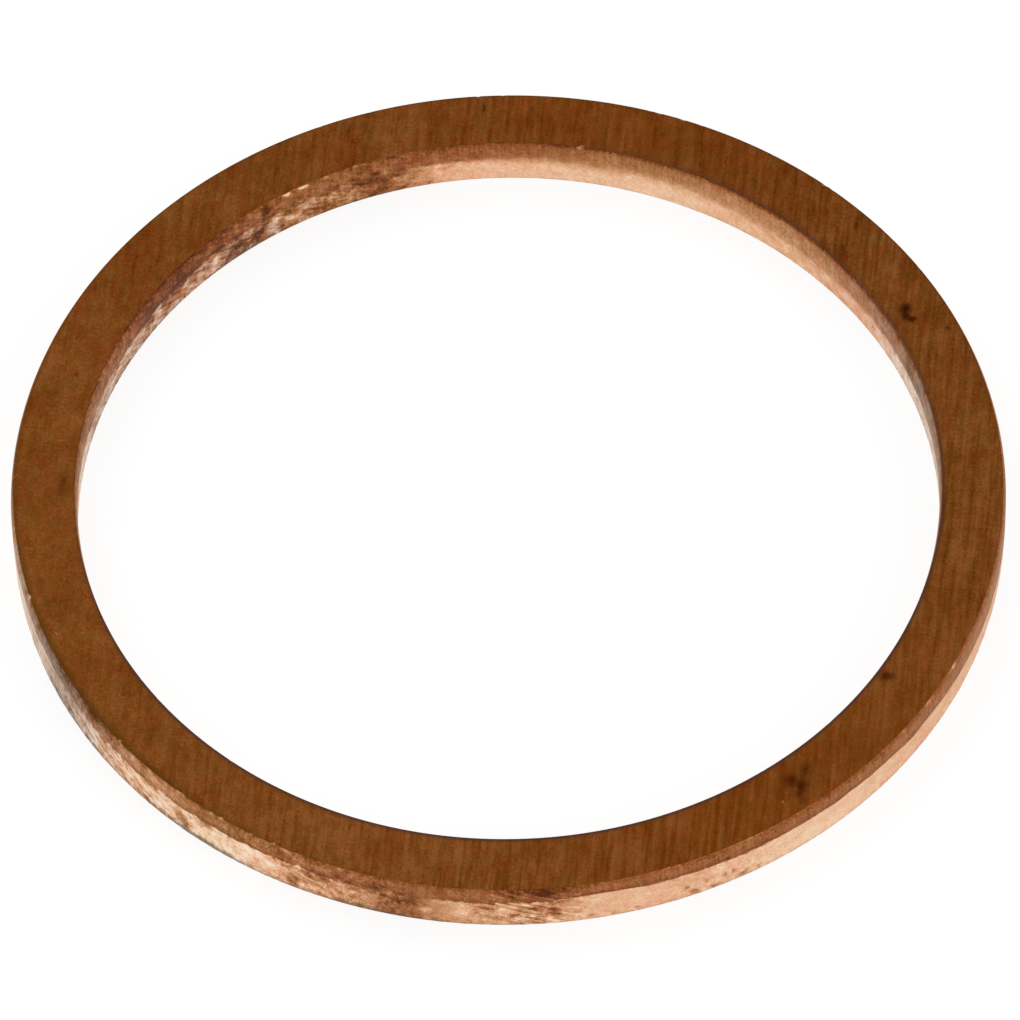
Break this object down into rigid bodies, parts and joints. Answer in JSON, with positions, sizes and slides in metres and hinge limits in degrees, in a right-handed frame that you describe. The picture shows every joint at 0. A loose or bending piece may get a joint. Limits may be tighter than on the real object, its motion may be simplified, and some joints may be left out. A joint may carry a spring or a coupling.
{
  "type": "copper crush washer",
  "caption": "Flat ring of soft copper with a plain round bore, punched from sheet, that is squeezed under a screwed plug or fitting to seal the joint.",
  "frame": {"origin": "centre of the bore, on the plane of the lower sealing face", "axes": "+Z along the bore axis, from the lower face to the upper face, whose edges are the rolled ones; X and Y lie in the lower face"},
  "size_m": [0.0346, 0.0346, 0.002],
  "materials": {
    "copper": "soft copper, not brass: belt-ground and tarnished brown on the flat faces, paler and bare on the sheared walls"
  },
  "bodies": {
    "root": {"washer": "copper"}
  },
  "joints": []
}
